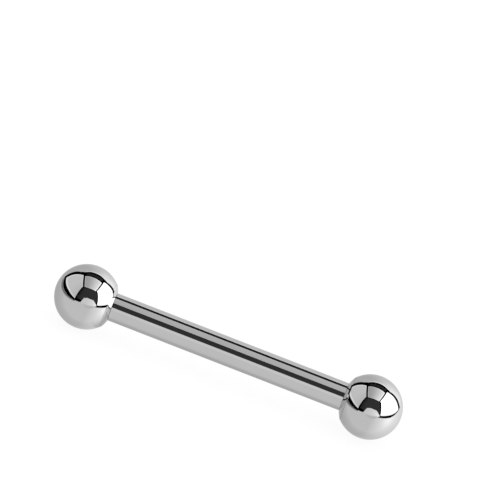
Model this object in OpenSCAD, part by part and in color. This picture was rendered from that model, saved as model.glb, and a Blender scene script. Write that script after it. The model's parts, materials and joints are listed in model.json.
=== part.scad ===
// Straight barbell for a body piercing: a polished steel bar with a ball screwed on each end.
// Millimetres. The bar lies along X on its two balls, +X points to the right ball, +Z is up,
// and the origin is on the surface that it lies on, under the middle of the bar.

/* [Bar] */
// Diameter of the bar, 12 gauge, which is sold as 2.1 mm
bar_d = 2.1; // [1.8:0.05:2.4]
// Length of the bar from shoulder to shoulder, the space left between the two balls
bar_len = 18; // [8:0.5:40]
// Chamfer on the edge of each shoulder
bar_chamfer = 0.03; // [0.02:0.01:0.08]

/* [Balls] */
// Diameter of each ball, 3/16 inch
ball_d = 4.76; // [4:0.02:6.4]
// Width of the ring round the bar where the plane of each ball's seat cuts the ball
seat_ring = 0.23; // [0.15:0.01:0.4]
// Width of the part of that ring that stays flat, next to the bar
seat_flat = 0.07; // [0.03:0.01:0.12]
// Angle between the bevel round each seat and the seat itself
rim_angle = 24; // [15:1:32]

/* [Thread] */
// Outer diameter of the thread on each end of the bar
thread_d = 1.6; // [1.4:0.05:1.6]
// Distance from one turn of the thread to the next
thread_pitch = 0.35; // [0.3:0.05:0.4]
// Length of the threaded stub that stands out of each shoulder
stub_len = 2; // [1.5:0.1:2.2]
// Length of the plain neck between a shoulder and the thread
neck_len = 0.2; // [0.15:0.05:0.4]

/* [Fits] */
// Air between the bar's shoulder and the ball's seat
seat_gap = 0.01; // [0.01:0.01:0.05]
// Air round the thread in the ball's bore
bore_gap = 0.03; // [0.01:0.01:0.05]
// Air between the end of the stub and the end of the bore's straight wall
end_gap = 0.25; // [0.1:0.05:0.4]

/* [Hidden] */
$fn = 96;

bar_r = bar_d / 2;
ball_r = ball_d / 2;

// The seat lies where the ball's section is this wide, and its rim is bevelled from the flat on.
seat_r = bar_r + seat_ring;
seat_x = sqrt(pow(ball_r, 2) - pow(seat_r, 2));
flat_r = bar_r + seat_flat;
rim_rise = (ball_r - flat_r) * tan(rim_angle);
shoulder_x = bar_len / 2;
ball_x = shoulder_x + seat_gap + seat_x;

// The bore is drilled, so it ends in the cone of the drill's point, and its mouth is countersunk.
drill_angle = 118;
bore_r = thread_d / 2 + bore_gap;
bore_len = stub_len + end_gap - seat_gap;
drill_point = bore_r / tan(drill_angle / 2);
mouth_chamfer = 0.06;

// The thread is a V whose sides lean by the flank angle, with an eighth of its full depth cut off
// at the crest and a quarter left in the root, so five eighths of that depth remain.
flank_angle = 30;
full_depth = thread_pitch / 2 / tan(flank_angle);
crest_r = thread_d / 2;
root_r = crest_r - full_depth * 5 / 8;
crest_flat = thread_pitch / 8;
neck_cut = 0.03;
neck_r = root_r - neck_cut;
tip_chamfer = 0.06;

// The ridge reaches this far below the root, so that it is one solid with its core.
ridge_sink = 0.05;
// Sections in each turn of the ridge, and the part of a turn over which its ends fade out.
ridge_steps = 30;
ridge_fade = 0.5;
// Half the ridge is left between its first section and the neck, and its last and the tip.
ridge_margin = thread_pitch / 2;
ridge_turns = (stub_len - neck_len - tip_chamfer - 2 * ridge_margin) / thread_pitch;

module along_x() {
    rotate([0, 90, 0]) children();
}

// Half the width of the ridge at a radius.
function ridge_half(r) = crest_flat / 2 + (crest_r - r) * tan(flank_angle);

// The crest's radius along the ridge, which rises out of the core at one end and sinks back
// into it at the other.
function crest_at(turn) =
    let(
        low = root_r - ridge_sink / 2,
        rise = min(1, turn / ridge_fade, (ridge_turns - turn) / ridge_fade)
    )
    low + (crest_r - low) * rise;

// One section of the ridge, as its four corners in order round it. The thread is right-handed.
function ridge_section(i) =
    let(
        turn = i / ridge_steps,
        angle = 360 * turn,
        foot = root_r - ridge_sink,
        top = crest_at(turn),
        corners = [
            [foot, -ridge_half(foot)],
            [top, -ridge_half(top)],
            [top, ridge_half(top)],
            [foot, ridge_half(foot)]
        ]
    )
    [for (c = corners) [
        c[0] * cos(angle),
        c[0] * sin(angle),
        c[1] + turn * thread_pitch
    ]];

// The helical ridge of the thread, climbing along Z from its first section at z = 0.
module ridge() {
    last = floor(ridge_turns * ridge_steps);
    points = [for (i = [0:last]) each ridge_section(i)];
    sides = [
        for (i = [0:last - 1], k = [0:3])
            let(a = 4 * i + k, b = 4 * i + (k + 1) % 4)
            each [[a, b, b + 4], [a, b + 4, a + 4]]
    ];
    end = 4 * last;
    caps = [
        [0, 3, 2], [0, 2, 1],
        [end, end + 1, end + 2], [end, end + 2, end + 3]
    ];
    polyhedron(points = points, faces = concat(sides, caps));
}

// The stub that a ball screws onto, standing on z = 0: a plain neck, then the thread on its core.
module stub() {
    rotate_extrude() polygon([
        [0, 0],
        [neck_r, 0],
        [neck_r, neck_len - neck_cut],
        [root_r, neck_len],
        [root_r, stub_len - tip_chamfer],
        [root_r - tip_chamfer, stub_len],
        [0, stub_len]
    ]);
    translate([0, 0, neck_len + ridge_margin]) ridge();
}

// The part of the bar that shows, a plain round with a chamfered shoulder at each end.
module shank() {
    along_x() rotate_extrude() polygon([
        [0, -shoulder_x],
        [bar_r - bar_chamfer, -shoulder_x],
        [bar_r, bar_chamfer - shoulder_x],
        [bar_r, shoulder_x - bar_chamfer],
        [bar_r - bar_chamfer, shoulder_x],
        [0, shoulder_x]
    ]);
}

module bar() {
    color("silver") translate([0, 0, ball_r]) {
        shank();
        for (turn = [0, 180])
            rotate([0, 0, turn]) translate([shoulder_x, 0, 0]) along_x() stub();
    }
}

// What is turned and drilled out of a ball whose seat, facing -Z, is at z = 0.
module seat_and_bore() {
    rotate_extrude() polygon([
        [0, -ball_r],
        [ball_r, -ball_r],
        [ball_r, rim_rise],
        [flat_r, 0],
        [bore_r + mouth_chamfer, 0],
        [bore_r, mouth_chamfer],
        [bore_r, bore_len],
        [0, bore_len + drill_point]
    ]);
}

// A ball with its centre at the origin and its seat facing -X.
module ball() {
    along_x() difference() {
        sphere(r = ball_r);
        translate([0, 0, -seat_x]) seat_and_bore();
    }
}

module ball_right() {
    color("gainsboro") translate([ball_x, 0, ball_r]) ball();
}

module ball_left() {
    color("gainsboro") translate([-ball_x, 0, ball_r]) rotate([0, 0, 180]) ball();
}

bar();
ball_left();
ball_right();
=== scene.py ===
# The looks of a straight piercing barbell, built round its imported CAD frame: a polished bar with a
# threaded stub at each end, and two mirror-polished balls that are drilled, tapped and screwed on.
# Each piece is modelled in millimetres standing along Z, then turned, placed and scaled to metres.

import json
import math

import bpy
from mathutils import Matrix, Vector


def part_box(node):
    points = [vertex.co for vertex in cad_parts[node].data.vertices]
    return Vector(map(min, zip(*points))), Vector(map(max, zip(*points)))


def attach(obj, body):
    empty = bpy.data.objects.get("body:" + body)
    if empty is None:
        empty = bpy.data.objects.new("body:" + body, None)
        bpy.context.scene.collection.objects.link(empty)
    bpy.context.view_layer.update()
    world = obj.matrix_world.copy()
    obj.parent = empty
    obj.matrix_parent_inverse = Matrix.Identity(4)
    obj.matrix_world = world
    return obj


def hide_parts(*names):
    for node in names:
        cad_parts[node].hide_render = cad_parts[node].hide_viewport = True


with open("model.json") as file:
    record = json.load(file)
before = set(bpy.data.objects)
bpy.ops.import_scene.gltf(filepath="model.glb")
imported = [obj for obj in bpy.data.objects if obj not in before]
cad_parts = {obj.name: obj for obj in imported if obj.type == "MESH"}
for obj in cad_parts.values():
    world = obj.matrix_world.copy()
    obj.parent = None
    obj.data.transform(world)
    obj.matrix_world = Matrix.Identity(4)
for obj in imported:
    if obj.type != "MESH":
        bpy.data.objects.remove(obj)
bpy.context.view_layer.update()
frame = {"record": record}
print("frame loaded")

metre = 1000  # millimetres in one
barMount = frame["record"]["mounts"][0]
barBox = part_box("bar")
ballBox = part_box("ball_right")

barSize = {
    "radius": barMount["dims"]["r_mm"],
    "mountEnd": 0.03,  # how far the mount ends before the shoulder
    "chamfer": 0.012,
    "stubEnd": round(barBox[1].x * metre, 3),
}
barSize["shoulder"] = barMount["dims"]["length_mm"] / 2 + barSize["mountEnd"]
barSize["stub"] = barSize["stubEnd"] - barSize["shoulder"]

ballSize = {
    "radius": round(barMount["pos_m"][2] * metre, 3),
    "seatFlat": 0.07,  # width of the ring round the bar that stays flat
}
ballSize["centre"] = ballBox[1].x * metre - ballSize["radius"]
ballSize["seat"] = ballSize["centre"] - ballBox[0].x * metre
ballSize["flatRadius"] = barSize["radius"] + ballSize["seatFlat"]


# helpers for modelling

closeness = {  # millimetres within which places count as the same
    "pick": 0.0005,
    "pickFlat": 1e-5,  # for a flat face whose neighbours are almost level with it
    "cut": 1e-6,
    "merge": 1e-5,
    "mergeTurns": 0.001,  # between one turn of a thread and the next
}
smoothAngle = 30  # degrees between faces that are still shaded as one


def clearSelection():
    active = bpy.context.view_layer.objects.active
    if active and active.mode != "OBJECT":
        bpy.ops.object.mode_set(mode="OBJECT")
    bpy.ops.object.select_all(action="DESELECT")


def work(piece):
    # Makes a piece the only one selected.
    clearSelection()
    piece.select_set(True)
    bpy.context.view_layer.objects.active = piece


def pick(piece, part, test):
    # In edit mode, selects the edges or faces whose place passes the test.
    work(piece)
    bpy.ops.object.mode_set(mode="EDIT")
    bpy.ops.mesh.select_mode(type=part)
    bpy.ops.mesh.select_all(action="DESELECT")
    bpy.ops.object.mode_set(mode="OBJECT")
    mesh = piece.data
    if part == "FACE":
        for face in mesh.polygons:
            face.select = test(face.center)
    else:
        for edge in mesh.edges:
            edge.select = all(test(mesh.vertices[i].co) for i in edge.vertices)
    bpy.ops.object.mode_set(mode="EDIT")


def atHeight(z, slack=closeness["pick"]):
    return lambda place: abs(place.z - z) < slack


def pull(rise, scale=1):
    # Extrudes the picked face along Z and scales its new end about the axis.
    bpy.ops.mesh.extrude_region_move(TRANSFORM_OT_translate={"value": (0, 0, rise)})
    if scale != 1:
        bpy.ops.transform.resize(value=(scale, scale, 1), center_override=(0, 0, 0))


def cutOff(piece, z, keepAbove):
    # Cuts a solid across at a height, clears one side and closes the cut.
    work(piece)
    bpy.ops.object.mode_set(mode="EDIT")
    bpy.ops.mesh.select_all(action="SELECT")
    bpy.ops.mesh.bisect(
        plane_co=(0, 0, z),
        plane_no=(0, 0, 1),
        use_fill=True,
        clear_inner=keepAbove,
        clear_outer=not keepAbove,
        threshold=closeness["cut"],
    )
    bpy.ops.object.mode_set(mode="OBJECT")


def combine(piece, tool, how):
    # Joins a tool to a piece, cuts it out, or keeps what is in both, and removes the tool.
    work(piece)
    joint = piece.modifiers.new("Combine", "BOOLEAN")
    joint.operation = how
    joint.solver = "EXACT"
    joint.object = tool
    bpy.ops.object.modifier_apply(modifier=joint.name)
    bpy.data.objects.remove(tool)


def tidyMesh(piece):
    work(piece)
    bpy.ops.object.mode_set(mode="EDIT")
    bpy.ops.mesh.select_all(action="SELECT")
    bpy.ops.mesh.remove_doubles(threshold=closeness["merge"])
    bpy.ops.mesh.normals_make_consistent(inside=False)
    bpy.ops.object.mode_set(mode="OBJECT")
    bpy.ops.object.shade_smooth_by_angle(angle=math.radians(smoothAngle))


def putInPlace(piece, name, turn, along, material):
    # From millimetres along Z to metres along X, with the place in the mesh.
    work(piece)
    piece.name = name
    piece.data.name = name
    piece.rotation_euler = turn
    piece.location = (along / metre, 0, ballSize["radius"] / metre)
    piece.scale = (1 / metre,) * 3
    bpy.ops.object.transform_apply(location=True, rotation=True, scale=True)
    piece.data.materials.clear()
    piece.data.materials.append(material)


# thread

threadLook = {
    "pitch": 0.35,
    "crestRadius": 0.8,
    "depthKept": 0.625,  # share of a sharp thread's depth that is left
    "flank": 30,  # degrees
    "crestShare": 0.125,  # of the pitch that stays flat on a crest
    "steps": 64,  # faces in one turn
    "lead": 1.37,  # turns below the lower cut at which the sweep starts
    "spareTurns": 2,  # on top of the length between the cuts
}
threadLook["rootRadius"] = threadLook["crestRadius"] - (
    threadLook["pitch"] * threadLook["depthKept"] * math.cos(math.radians(threadLook["flank"]))
)


def threadedRod(root, crest, low, high):
    # One pitch of the profile is extruded point by point, swept up a helix and cut to length.
    pitch = threadLook["pitch"]
    flankRise = (crest - root) * math.tan(math.radians(threadLook["flank"]))
    crestFlat = pitch * threadLook["crestShare"]
    rootFlat = (pitch - crestFlat) / 2 - flankRise
    steps = [
        (0, rootFlat),
        (crest - root, flankRise),
        (0, crestFlat),
        (root - crest, flankRise),
        (0, rootFlat),
    ]
    clearSelection()
    bpy.ops.mesh.primitive_plane_add(size=1)
    rod = bpy.context.object
    bpy.ops.object.mode_set(mode="EDIT")
    bpy.ops.mesh.select_mode(type="VERT")
    bpy.ops.mesh.merge(type="CENTER")
    bpy.ops.transform.translate(value=(root, 0, low - threadLook["lead"] * pitch))
    for out, up in steps:
        bpy.ops.mesh.extrude_region_move(TRANSFORM_OT_translate={"value": (out, 0, up)})
    bpy.ops.object.mode_set(mode="OBJECT")
    screw = rod.modifiers.new("Thread", "SCREW")
    screw.axis = "Z"
    screw.screw_offset = pitch
    screw.iterations = math.ceil((high - low) / pitch) + threadLook["spareTurns"]
    screw.steps = threadLook["steps"]
    screw.render_steps = threadLook["steps"]
    bpy.ops.object.modifier_apply(modifier=screw.name)
    bpy.ops.object.mode_set(mode="EDIT")
    bpy.ops.mesh.select_all(action="SELECT")
    bpy.ops.mesh.remove_doubles(threshold=closeness["mergeTurns"])
    # Flat triangles, because a cut across a twisted face leaves a fold.
    bpy.ops.mesh.quads_convert_to_tris()
    bpy.ops.object.mode_set(mode="OBJECT")
    cutOff(rod, low, keepAbove=True)
    cutOff(rod, high, keepAbove=False)
    tidyMesh(rod)
    return rod


# bar

barLook = {
    "sides": 192,
    "lengths": 24,  # rings of faces along the shank
    "endRing": 1.5,  # chamfers from a shoulder to the last ring
    "chamferSteps": 3,
    "neckLength": 0.2,
    "neckCut": 0.03,  # how far the neck is below the thread's root
    "tipChamfer": 0.06,
    "stubSunk": 0.3,  # how deep a stub starts inside the shank
    "blankRadius": 0.9,  # round the thread, clear of its crests
    "rodSpare": 0.4,  # length of thread that is cut off past the tip
    "shoulderSkip": 0.01,  # past the shoulder, where the cut steel of the stub starts
    "stubMargin": 1.05,  # crests' radius times this takes in all of the stub
}


def turnedStub():
    # The thread, kept where it lies inside a blank turned with a neck and a chamfered tip.
    look = barLook
    root = threadLook["rootRadius"]
    blank = look["blankRadius"]
    neck = root - look["neckCut"]
    neckTop = look["neckLength"] - (root - neck)
    flare = blank - neck
    tip = root - look["tipChamfer"]
    clearSelection()
    bpy.ops.mesh.primitive_cylinder_add(
        vertices=threadLook["steps"],
        radius=neck,
        depth=look["stubSunk"] + neckTop,
        location=(0, 0, (neckTop - look["stubSunk"]) / 2),
    )
    stub = bpy.context.object
    bpy.ops.object.transform_apply(location=True, rotation=True, scale=True)
    pick(stub, "FACE", atHeight(neckTop))
    pull(flare, blank / neck)
    pull(barSize["stub"] - neckTop - flare - (blank - tip))
    pull(blank - tip, tip / blank)
    rod = threadedRod(
        root,
        threadLook["crestRadius"],
        -2 * look["stubSunk"],
        barSize["stub"] + look["rodSpare"],
    )
    combine(stub, rod, "INTERSECT")
    tidyMesh(stub)
    return stub


def turnBar():
    look = barLook
    half = barSize["shoulder"]
    clearSelection()
    bpy.ops.mesh.primitive_cylinder_add(
        vertices=look["sides"],
        radius=barSize["radius"],
        depth=2 * half,
        end_fill_type="NGON",
    )
    bar = bpy.context.object
    for end in (-half, half):
        pick(bar, "EDGE", atHeight(end))
        bpy.ops.mesh.bevel(
            offset=barSize["chamfer"],
            segments=look["chamferSteps"],
            affect="EDGES",
        )
    # Rings along the shank, the end ones close to the chamfers so that these don't shade it.
    hold = half - look["endRing"] * barSize["chamfer"]
    rings = [-hold + 2 * hold * i / look["lengths"] for i in range(look["lengths"] + 1)]
    bpy.ops.mesh.select_all(action="SELECT")
    for z in rings:
        bpy.ops.mesh.bisect(
            plane_co=(0, 0, z),
            plane_no=(0, 0, 1),
            threshold=closeness["cut"],
        )
        bpy.ops.mesh.select_all(action="SELECT")
    bpy.ops.object.mode_set(mode="OBJECT")
    stub = turnedStub()
    for turn in (0, math.pi):
        work(stub)
        bpy.ops.object.duplicate()
        copy = bpy.context.object
        copy.matrix_world = Matrix.Rotation(turn, 4, "X") @ Matrix.Translation((0, 0, half))
        bpy.ops.object.transform_apply(location=True, rotation=True, scale=True)
        combine(bar, copy, "UNION")
    bpy.data.objects.remove(stub)
    tidyMesh(bar)
    return bar


# balls

ballLook = {
    "segments": 256,
    "rings": 128,
    "rimAngle": 24,  # degrees between the seat and the bevel round it
    "outerRound": 0.2,  # how far the bevel's edges are rounded
    "innerRound": 0.05,
    "rimSteps": 6,
    "boreRadius": 0.83,
    "boreDepth": 2.24,
    "drillPoint": 118,  # degrees
    "mouth": 0.06,  # countersink of the bore
    "tapReach": 0.055,  # depth of the tapped grooves outside the bore
    "tapInside": 0.05,  # how far inside the bore the tap's root lies
    "tapLead": 0.3,  # how far in front of the seat the tap starts
    "tapShort": 0.25,  # length of bore that the tap leaves plain at its end
    "cutEnd": 1.5,  # past the ball's centre, where the cut steel of the bore surely ends
}


def rimMeet():
    # Where the bevel comes out on the sphere, as a radius and a height.
    slope = math.tan(math.radians(ballLook["rimAngle"]))
    start = slope * ballSize["flatRadius"] + ballSize["seat"]
    square = 1 + slope**2
    inner = start**2 - square * (start**2 - slope**2 * ballSize["radius"] ** 2)
    height = (start - math.sqrt(inner)) / square
    return math.sqrt(ballSize["radius"] ** 2 - height**2), -height


def turnBall():
    # A ball with its seat facing down at z = 0 less the seat's distance, drilled upwards.
    look = ballLook
    seatZ = -ballSize["seat"]
    mouthRadius = look["boreRadius"] + look["mouth"]
    flatRadius = ballSize["flatRadius"]
    rimRadius, rimZ = rimMeet()
    clearSelection()
    bpy.ops.mesh.primitive_uv_sphere_add(
        segments=look["segments"],
        ring_count=look["rings"],
        radius=ballSize["radius"],
    )
    ball = bpy.context.object
    cutOff(ball, rimZ, keepAbove=True)
    pick(ball, "FACE", atHeight(rimZ, closeness["pickFlat"]))
    pull(seatZ - rimZ, flatRadius / rimRadius)
    for z, rounding in ((rimZ, look["outerRound"]), (seatZ, look["innerRound"])):
        pick(ball, "EDGE", atHeight(z))
        bpy.ops.mesh.bevel(offset=rounding, segments=look["rimSteps"], affect="EDGES")
    pick(ball, "FACE", atHeight(seatZ, closeness["pickFlat"]))
    bpy.ops.mesh.inset(thickness=flatRadius - look["innerRound"] - mouthRadius)
    pull(look["mouth"], look["boreRadius"] / mouthRadius)
    pull(look["boreDepth"] - look["mouth"])
    pull(look["boreRadius"] / math.tan(math.radians(look["drillPoint"] / 2)))
    bpy.ops.mesh.merge(type="CENTER")
    bpy.ops.object.mode_set(mode="OBJECT")
    tap = threadedRod(
        look["boreRadius"] - look["tapInside"],
        look["boreRadius"] + look["tapReach"],
        seatZ - look["tapLead"],
        seatZ + look["boreDepth"] - look["tapShort"],
    )
    combine(ball, tap, "DIFFERENCE")
    tidyMesh(ball)
    return ball


# steel


def grey(level):
    return (level, level, level, 1)


class Wire:
    # A node's output socket. Sums on it add Math nodes to its tree.

    def __init__(self, tree, socket=None):
        self.tree = tree
        self.socket = socket

    def node(self, kind, settings=None, inputs=None, output=0):
        # Adds a node: its settings first, then a value or a link for each input.
        made = self.tree.nodes.new(kind)
        for key, value in (settings or {}).items():
            if key == "stops":
                ramp = made.color_ramp.elements
                for mark, (place, level) in zip(ramp, value):
                    mark.position = place
                    mark.color = grey(level)
            else:
                setattr(made, key, value)
        for key, value in (inputs or {}).items():
            if isinstance(value, Wire):
                self.tree.links.new(value.socket, made.inputs[key])
            else:
                made.inputs[key].default_value = value
        return Wire(self.tree, made.outputs[output]) if made.outputs else made

    def sum(self, operation, first, second=0):
        return self.node("ShaderNodeMath", {"operation": operation}, {0: first, 1: second})

    def __add__(self, other):
        return self.sum("ADD", self, other)

    def __radd__(self, other):
        return self.sum("ADD", other, self)

    def __sub__(self, other):
        return self.sum("SUBTRACT", self, other)

    def __rsub__(self, other):
        return self.sum("SUBTRACT", other, self)

    def __mul__(self, other):
        return self.sum("MULTIPLY", self, other)

    def __rmul__(self, other):
        return self.sum("MULTIPLY", other, self)

    def __gt__(self, other):
        return self.sum("GREATER_THAN", self, other)

    def __lt__(self, other):
        return self.sum("LESS_THAN", self, other)

    def __pow__(self, other):
        return self.sum("POWER", self, other)

    def above(self, least):
        return self.sum("MAXIMUM", self, least)

    def root(self):
        return self.sum("SQRT", self)

    def size(self):
        return self.sum("ABSOLUTE", self)

    def mix(self, share, first, second):
        # Mixes two colours, which are inputs 6 and 7 of the node.
        colours = {0: share, 6: first, 7: second}
        return self.node("ShaderNodeMix", {"data_type": "RGBA"}, colours, output=2)


def newMaterial(name):
    material = bpy.data.materials.new(name)
    material.use_nodes = True
    material.node_tree.nodes.clear()
    return material, Wire(material.node_tree)


steelLook = {
    "shade": 0.62,
    "cloudShade": 0.02,  # how much the polish varies in shade
    "gloss": 0.012,  # roughness of clean polish
    "cloudGloss": 0.012,
    "scratchGloss": 0.03,
    "scratchDepth": 1e-7,  # metres
    "scratchStops": [(0.62, 0), (0.68, 1)],  # how much of the grain shows as a scratch
    "scratchShift": 0.01,  # metres from one set of scratches to the next
    "cloud": {"Scale": 420, "Detail": 3, "Roughness": 0.55},
    "grain": {"Detail": 2, "Roughness": 0.6},
    "cutShade": 0.5,  # where a tool has cut it and nothing has polished it
    "cutGloss": 0.28,
}


def steel(name, inside, streak):
    # Polished steel. inside marks what a tool has cut, and streak stretches the fine lines.
    look = steelLook
    material, start = newMaterial(name)
    place = start.node("ShaderNodeTexCoord", output="Object")
    axes = start.node("ShaderNodeSeparateXYZ", inputs={0: place}).socket.node.outputs
    x, y, z = (Wire(start.tree, axes[axis]) for axis in "XYZ")
    z = z - ballSize["radius"] / metre  # up from the barbell's axis
    fromAxis = (y * y + z * z).root()
    cut = inside(x.size(), fromAxis)
    cloud = start.node(
        "ShaderNodeTexNoise",
        {"noise_dimensions": "3D"},
        {"Vector": place, **look["cloud"]},
    )
    scratches = 0
    for number, turn in enumerate(streak["turns"]):
        lines = start.node(
            "ShaderNodeMapping",
            inputs={
                "Vector": place,
                "Rotation": turn,
                "Scale": streak["stretch"],
                "Location": (look["scratchShift"] * number, 0, 0),
            },
        )
        grain = start.node(
            "ShaderNodeTexNoise",
            inputs={"Vector": lines, "Scale": streak["scale"], **look["grain"]},
        )
        line = start.node(
            "ShaderNodeValToRGB",
            {"stops": look["scratchStops"]},
            {"Fac": grain},
        )
        scratches = line + scratches
    darkest = grey(look["shade"] - look["cloudShade"])
    palest = grey(look["shade"] + look["cloudShade"])
    colour = start.mix(cut, start.mix(cloud, darkest, palest), grey(look["cutShade"]))
    gloss = look["gloss"] + cloud * look["cloudGloss"] + scratches * look["scratchGloss"]
    gloss = gloss * (1 - cut) + cut * look["cutGloss"]
    bump = start.node(
        "ShaderNodeBump",
        inputs={"Height": scratches, "Strength": 1, "Distance": look["scratchDepth"]},
    )
    surface = start.node(
        "ShaderNodeBsdfPrincipled",
        inputs={"Base Color": colour, "Metallic": 1, "Roughness": gloss, "Normal": bump},
    )
    start.node("ShaderNodeOutputMaterial", inputs={"Surface": surface})
    return material


def insideBall(fromMiddle, fromAxis):
    # The bore, which starts at the seat and ends short of the ball's far side.
    nearAxis = fromAxis < (ballLook["boreRadius"] + ballLook["mouth"]) / metre
    return nearAxis * (fromMiddle < (ballSize["centre"] + ballLook["cutEnd"]) / metre)


def beyondShoulder(fromMiddle, fromAxis):
    # The stub, from a hair outside the bar's shoulder out to its tip.
    nearAxis = fromAxis < threadLook["crestRadius"] * barLook["stubMargin"] / metre
    return (fromMiddle > (barSize["shoulder"] + barLook["shoulderSkip"]) / metre) * nearAxis


ballSteel = steel(
    "ball_steel",
    insideBall,
    {
        "turns": [(0.3, 0.9, 0.2), (1.3, 0.2, 1.1), (0.8, 1.7, 0.5)],
        "stretch": (1, 14, 14),
        "scale": 160,
    },
)
barSteel = steel(
    "bar_steel",
    beyondShoulder,
    {
        "turns": [(0, 0, 0), (0, 0.03, 0.02)],
        "stretch": (1, 30, 30),
        "scale": 130,
    },
)
print("steel mixed")

bar = turnBar()
putInPlace(bar, "steelBar", (0, math.pi / 2, 0), 0, barSteel)
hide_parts("bar")
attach(bar, "bar")
print("bar turned and threaded", len(bar.data.polygons))

rightBall = turnBall()
work(rightBall)
bpy.ops.object.duplicate()
leftBall = bpy.context.object
putInPlace(rightBall, "rightBall", (0, math.pi / 2, 0), ballSize["centre"], ballSteel)
putInPlace(leftBall, "leftBall", (0, -math.pi / 2, 0), -ballSize["centre"], ballSteel)
for ball, node in ((leftBall, "ball_left"), (rightBall, "ball_right")):
    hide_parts(node)
    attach(ball, node)
print("balls turned, drilled and tapped", len(rightBall.data.polygons))


# camera

cameraLook = {
    "lens": 1000,  # mm
    "distance": 1.0058,  # metres
    "azimuth": 2.7,  # degrees
    "elevation": 22.6,
    "roll": 20.2,
    "aimRight": 0.001562,  # from the middle of the barbell to the middle of the picture
    "aimUp": 0.007376,
    "sensor": 36,  # mm
    "nearest": 0.01,  # metres at which its view starts
    "farthest": 100,  # and ends
}


def addCamera():
    look = cameraLook
    azimuth = math.radians(look["azimuth"])
    elevation = math.radians(look["elevation"])
    roll = math.radians(look["roll"])
    back = Vector(
        (
            math.sin(azimuth) * math.cos(elevation),
            -math.cos(azimuth) * math.cos(elevation),
            math.sin(elevation),
        )
    )
    level = Vector((math.cos(azimuth), math.sin(azimuth), 0))
    upright = back.cross(level)
    right = level * math.cos(roll) + upright * math.sin(roll)
    up = upright * math.cos(roll) - level * math.sin(roll)
    middle = Vector((0, 0, ballSize["radius"] / metre))
    place = middle + back * look["distance"] + right * look["aimRight"] + up * look["aimUp"]
    bpy.ops.object.camera_add()
    camera = bpy.context.object
    turned = Matrix((right, up, back)).transposed().to_4x4()
    camera.matrix_world = Matrix.Translation(place) @ turned
    camera.data.lens = look["lens"]
    camera.data.sensor_width = look["sensor"]
    camera.data.clip_start = look["nearest"]
    camera.data.clip_end = look["farthest"]
    bpy.context.scene.camera = camera


addCamera()
stageAzimuth = math.radians(cameraLook["azimuth"])
print("camera placed")


# studio

# A light tent that only the steel reflects stands round a pale floor that it doesn't reflect.
# A place in the tent is across to the right of the picture, towards the camera and up, and the
# tent reaches 1 to each side. A sheet is a row of columns, each with two ends and a brightness.

tentLook = {
    "half": 0.5,  # metres from the barbell to a side wall
    "far": 12,  # how many times as far the backdrop is
    "hem": 0.09,  # width of the edge round a wall
    "hemGain": {"leftWall": 1.35, "ceiling": 1.35, "rightWall": 0.55},  # times as bright
    "frontHem": 0.12,  # width of the black edge round the front block
    "hair": 0.998,  # share of the edge's distance at which the wall itself hangs
}

backdropLook = {
    "segments": 48,
    "rings": 24,
    "base": 0.8,  # brightness away from the lamps
    "lamps": [  # bearing and height in degrees, strength, and how narrow its glow is
        (-15.9, 3.9, 0.514, 1),
        # the next one has a negative strength: painted shade on the floor at the back left
        (263, -15, -0.234, 0.67),
        (306, 32.6, 0.24, 30),
        (12, -14, 0.22, 20),
    ],
}

floorLook = {
    "glow": 1.06,
    "share": 0.85,  # of the floor that is light, the rest is plain white
    "shade": 0.8,  # of the plain white
}

hemmedSheets = {
    "leftWall": [
        ((-1, -0.61, 0.19), (-1, -0.44, 1.78), 0.84),
        ((-1, 0.3, 0.13), (-1, 0.3, 1.78), 0.83),
        ((-1, 1.4, -0.01), (-1, 1.4, 1.78), 0.72),
    ],
    "ceiling": [
        ((-0.86, -0.33, 1.9), (-0.78, 1.39, 1.9), 0.5),
        ((-0.3, -0.31, 1.9), (-0.3, 1.39, 1.9), 0.57),
        ((0, -0.29, 1.9), (0, 1.39, 1.9), 0.7),
        ((0.5, -0.27, 1.9), (0.5, 1.39, 1.9), 1),
        ((0.93, -0.26, 1.9), (0.93, 1.39, 1.9), 1.2),
    ],
    "rightWall": [
        ((1, -0.58, 0.03), (1, -0.58, 1.71), 3),
        ((1, 1.15, 0.03), (1, 1.15, 1.71), 3),
    ],
}
frontBlock = [
    ((-0.75, 1, -0.02), (-0.75, 1, 1.36), 0.02),
    ((-0.3, 1, -0.02), (-0.3, 1, 1.36), 0.042),
    ((0.97, 1, -0.02), (0.93, 1, 1.36), 0.045),
]
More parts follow.
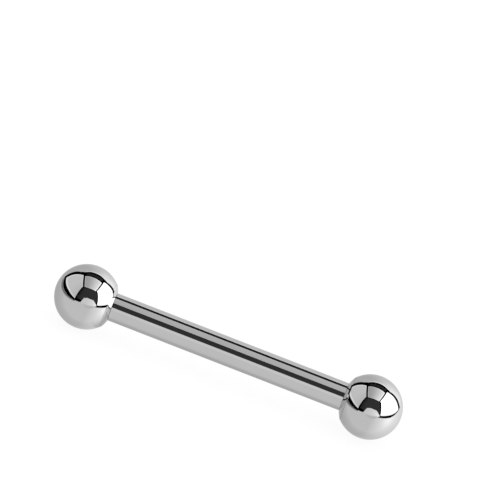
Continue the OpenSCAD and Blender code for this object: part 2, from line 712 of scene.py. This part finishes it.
plainSheets = {
    "card": [  # low on the front block
        ((-0.26, 0.97, -0.05), (-0.25, 0.97, 0), 0.85),
        ((-0.15, 0.97, -0.05), (-0.15, 0.97, 0.28), 0.88),
        ((0.07, 0.97, -0.05), (0.07, 0.97, 0.36), 0.9),
        ((0.5, 0.97, -0.05), (0.5, 0.97, 0.33), 1.1),
        ((0.87, 0.97, -0.03), (0.87, 0.97, 0.02), 1.5),
    ],
    # painted soft shade on the floor below the card, darkest in its middle row
    "underCard": [  # rows across, from the block's foot downwards
        ((-0.25, 0.98, -0.03), (0.9, 0.98, -0.03), 0.88),
        ((-0.15, 0.98, -0.1), (0.75, 0.98, -0.1), 0.78),
        ((0, 0.98, -0.17), (0.6, 0.98, -0.17), 0.67),
        ((0.1, 0.98, -0.24), (0.5, 0.98, -0.24), 0.75),
        ((0.2, 0.98, -0.33), (0.4, 0.98, -0.33), 0.83),
    ],
    "leftBlack": [  # outside the left wall
        ((-1.02, -0.96, 0.05), (-1.02, -0.93, 1.95), 0),
        ((-1.02, -0.7, 0.02), (-1.02, -0.7, 1.95), 0),
        ((-1.02, 0.3, -0.09), (-1.02, 0.3, 1.95), 0),
        ((-1.02, 1.45, -0.19), (-1.02, 1.45, 1.95), 0),
    ],
    "rightBlack": [  # outside the right wall
        ((1.02, -0.9, 0), (1.02, -0.85, 1.95), 0),
        ((1.02, -0.3, -0.03), (1.02, -0.3, 1.95), 0),
        ((1.02, 0.1, -0.1), (1.02, 0.1, 1.95), 0),
        ((1.02, 1.45, -0.17), (1.02, 1.45, 1.95), 0),
    ],
    "rightCorner": [  # high up, where the right's black ends at the back
        ((1.01, -0.7, 1.2), (1.01, -0.7, 1.95), 0),
        ((1.01, -0.84, 1.25), (1.01, -0.84, 1.95), 0),
        ((1.01, -1.2, 1.93), (1.01, -1.2, 1.95), 0),
    ],
    "leftCorner": [  # and the left's
        ((-1.01, -0.7, 1), (-1.01, -0.7, 1.95), 0),
        ((-1.01, -0.9, 1.1), (-1.01, -0.9, 1.95), 0),
        ((-1.01, -1.15, 1.93), (-1.01, -1.15, 1.95), 0),
    ],
    "roofBlack": [  # above the ceiling
        ((-1.02, -1.12, 1.93), (-1.02, 1.45, 1.93), 0),
        ((-0.5, -1.24, 1.93), (-0.5, 1.45, 1.93), 0),
        ((0, -1.25, 1.93), (0, 1.45, 1.93), 0),
        ((0.5, -1.27, 1.93), (0.5, 1.45, 1.93), 0),
        ((1.02, -1.22, 1.93), (1.02, 1.45, 1.93), 0),
    ],
    "frontBlack": [  # behind the front block
        ((-0.79, 1.01, -0.12), (-0.79, 1.01, 1.41), 0),
        ((-0.65, 1.01, -0.11), (-0.65, 1.01, 1.41), 0),
        ((-0.45, 1.01, -0.085), (-0.45, 1.01, 1.41), 0),
        ((-0.28, 1.01, -0.055), (-0.28, 1.01, 1.41), 0),
        ((-0.2, 1.01, -0.03), (-0.2, 1.01, 1.41), 0),
        ((1.01, 1.01, -0.03), (0.99, 1.01, 1.41), 0),
    ],
    # painted shade on the floor along the foot of the left wall, fading out downwards
    "leftFade": [  # from the left's black down to light
        ((-1.02, -1.02, -0.14), (-1.02, 1.45, -0.33), 0.8),
        ((-1.02, -0.9, 0), (-1.02, 1.45, -0.19), 0),
    ],
    "leftBackFade": [  # and back to light
        ((-1.02, -1.04, -0.14), (-1.02, -1.02, 1.1), 0.75),
        ((-1.02, -0.95, 0), (-1.02, -0.92, 1.1), 0),
    ],
    "roofGrey": [  # a little light on the roof's black
        ((-0.75, -0.85, 1.925), (-0.75, -0.5, 1.925), 0.02),
        ((0.9, -0.88, 1.925), (0.9, -0.45, 1.925), 0.035),
    ],
    "roofLine": [  # a bright line along the roof's back edge
        ((-0.5, -1.23, 1.92), (-0.5, -1.36, 1.92), 1.1),
        ((0, -1.24, 1.92), (0, -1.38, 1.92), 1.25),
        ((0.5, -1.26, 1.92), (0.5, -1.4, 1.92), 1.5),
        ((1.02, -1.21, 1.92), (1.02, -1.35, 1.92), 1.6),
    ],
    "rightHalo": [  # glow behind the right's black
        ((1.02, -0.89, 0.02), (1.02, -0.84, 1.93), 1.42),
        ((1.02, -1.05, 0.02), (1.02, -1.05, 1.93), 1.3),
        ((1.02, -1.45, 0.02), (1.02, -1.45, 1.93), 1.18),
        ((1.02, -2.1, 0.02), (1.02, -2.1, 1.93), 1),
    ],
    "roofHalo": [  # glow behind the roof's back edge
        ((-0.9, -1.15, 1.93), (-0.9, -1.35, 1.93), 0.9),
        ((-0.5, -1.24, 1.93), (-0.5, -1.48, 1.93), 0.9),
        ((0, -1.25, 1.93), (0, -1.52, 1.93), 0.92),
        ((0.5, -1.27, 1.93), (0.5, -1.55, 1.93), 1.1),
        ((1.02, -1.22, 1.93), (1.02, -1.45, 1.93), 1.25),
    ],
}


def spot(across, towards, high):
    # A place in the tent, which is turned with the camera.
    side = Vector((math.cos(stageAzimuth), math.sin(stageAzimuth), 0))
    front = Vector((math.sin(stageAzimuth), -math.cos(stageAzimuth), 0))
    return side * across + front * towards + Vector((0, 0, high))


def bearing(turn, height):
    # A direction in the tent, turned from the right towards the camera and raised, in degrees.
    turn = math.radians(turn)
    height = math.radians(height)
    level = math.cos(height)
    return spot(math.cos(turn) * level, math.sin(turn) * level, math.sin(height))


def lit(name, brightness, share=1):
    # Light given off, with a share of plain white surface under it.
    material, start = newMaterial(name)
    light = start.node("ShaderNodeEmission", inputs={"Color": brightness(start), "Strength": 1})
    if share < 1:
        white = start.node("ShaderNodeBsdfDiffuse", inputs={"Color": grey(floorLook["shade"])})
        light = start.node("ShaderNodeMixShader", inputs={0: share, 1: white, 2: light})
    start.node("ShaderNodeOutputMaterial", inputs={"Surface": light})
    return material


def sheetBrightness(start):
    return start.node("ShaderNodeAttribute", {"attribute_name": "brightness"}, output="Fac")


def backdropBrightness(start):
    place = start.node("ShaderNodeTexCoord", output="Object")
    outwards = start.node("ShaderNodeVectorMath", {"operation": "NORMALIZE"}, {0: place})
    total = backdropLook["base"]
    for turn, height, strength, narrow in backdropLook["lamps"]:
        facing = start.node(
            "ShaderNodeVectorMath",
            {"operation": "DOT_PRODUCT"},
            {0: outwards, 1: bearing(turn, height)},
            output="Value",
        )
        total = total + strength * facing.above(0) ** narrow
    return total


def shade(name, level):
    # A see-through sheet that dims what lies behind it towards a level.
    material, start = newMaterial(name)
    clear = start.node("ShaderNodeBsdfTransparent", inputs={"Color": grey(1)})
    dim = start.node("ShaderNodeEmission", inputs={"Color": grey(level), "Strength": 1})
    mixed = start.node("ShaderNodeMixShader", inputs={0: sheetBrightness(start), 1: clear, 2: dim})
    start.node("ShaderNodeOutputMaterial", inputs={"Surface": mixed})
    return material


def showTo(piece, rays):
    # Lets only these rays see a piece of the studio.
    piece.visible_camera = "camera" in rays
    piece.visible_glossy = "glossy" in rays
    piece.visible_diffuse = "diffuse" in rays
    piece.visible_shadow = False
    piece.visible_transmission = False


def onFloor(along, back, high):
    # The same as spot, for a place in the barbell's own axes in millimetres.
    return Vector((along, back, high)) / metre / tentLook["half"]


def hang(name, columns, material, rays, place=spot):
    # Makes a sheet through the ends of its columns, with their brightness on its points.
    count = len(columns)
    clearSelection()
    bpy.ops.mesh.primitive_grid_add(x_subdivisions=count - 1, y_subdivisions=1, size=1)
    sheet = bpy.context.object
    sheet.name = name
    glow = sheet.data.attributes.new("brightness", "FLOAT", "POINT")
    for number, (low, high, brightness) in enumerate(columns):
        for vertex, end in ((number, low), (number + count, high)):
            sheet.data.vertices[vertex].co = place(*end) * tentLook["half"]
            glow.data[vertex].value = brightness
    sheet.data.materials.append(material)
    showTo(sheet, rays)


def drawnIn(columns, hem):
    # The same sheet without a hem all round it, a hair nearer to the barbell.
    lows = [Vector(low) for low, high, brightness in columns]
    highs = [Vector(high) for low, high, brightness in columns]
    for ends in (lows, highs):
        run = (ends[-1] - ends[0]).normalized() * hem
        ends[0] += run
        ends[-1] -= run
    made = []
    for low, high, column in zip(lows, highs, columns):
        rise = (high - low).normalized() * hem
        made.append(((low + rise) * tentLook["hair"], (high - rise) * tentLook["hair"], column[2]))
    return made


def scaled(columns, gain):
    return [(low, high, brightness * gain) for low, high, brightness in columns]


sheetLight = lit("sheetLight", sheetBrightness)
mirrorOnly = ("glossy",)
for name, columns in hemmedSheets.items():
    hang(name + "Hem", scaled(columns, tentLook["hemGain"][name]), sheetLight, mirrorOnly)
    hang(name, drawnIn(columns, tentLook["hem"]), sheetLight, mirrorOnly)
hang("frontBlockEdge", scaled(frontBlock, 0), sheetLight, mirrorOnly)
hang("frontBlock", drawnIn(frontBlock, tentLook["frontHem"]), sheetLight, mirrorOnly)
for name, columns in plainSheets.items():
    hang(name, columns, sheetLight, mirrorOnly)

clearSelection()
bpy.ops.mesh.primitive_uv_sphere_add(
    segments=backdropLook["segments"],
    ring_count=backdropLook["rings"],
    radius=tentLook["far"] * tentLook["half"],
)
backdrop = bpy.context.object
backdrop.name = "backdrop"
backdrop.data.materials.append(lit("backdrop", backdropBrightness))
showTo(backdrop, mirrorOnly)

far = tentLook["far"]
hang(
    "floor",
    [
        ((-far, far, 0), (-far, -far, 0), floorLook["glow"]),
        ((far, far, 0), (far, -far, 0), floorLook["glow"]),
    ],
    lit("floorLight", sheetBrightness, floorLook["share"]),
    ("camera", "diffuse"),
)

# The shade that the bar and the balls throw on the floor shows only in the steel.
shadeLook = {
    "level": 0.56,
    "reach": 9.3,  # mm to each side along the bar
    "rows": [  # mm behind the bar's axis, and how strong the shade is there
        (-3, 0),
        (-1.7, 0.12),
        (-1.25, 0.25),
        (-0.8, 0.65),
        (-0.3, 0.85),
        (0.6, 1),
        (1.3, 0.9),
        (2.5, 0.4),
        (5, 0),
    ],
}
reach = shadeLook["reach"]
hang(
    "shadeUnderBar",
    [((-reach, back, 0), (reach, back, 0), strength) for back, strength in shadeLook["rows"]],
    shade("shadeOnFloor", shadeLook["level"]),
    mirrorOnly,
    onFloor,
)

world = bpy.data.worlds.new("studio")
bpy.context.scene.world = world
world.use_nodes = True
world.node_tree.nodes["Background"].inputs["Color"].default_value = grey(1)
world.cycles_visibility.glossy = False
bpy.context.scene.view_settings.view_transform = "Standard"
print("studio lit")
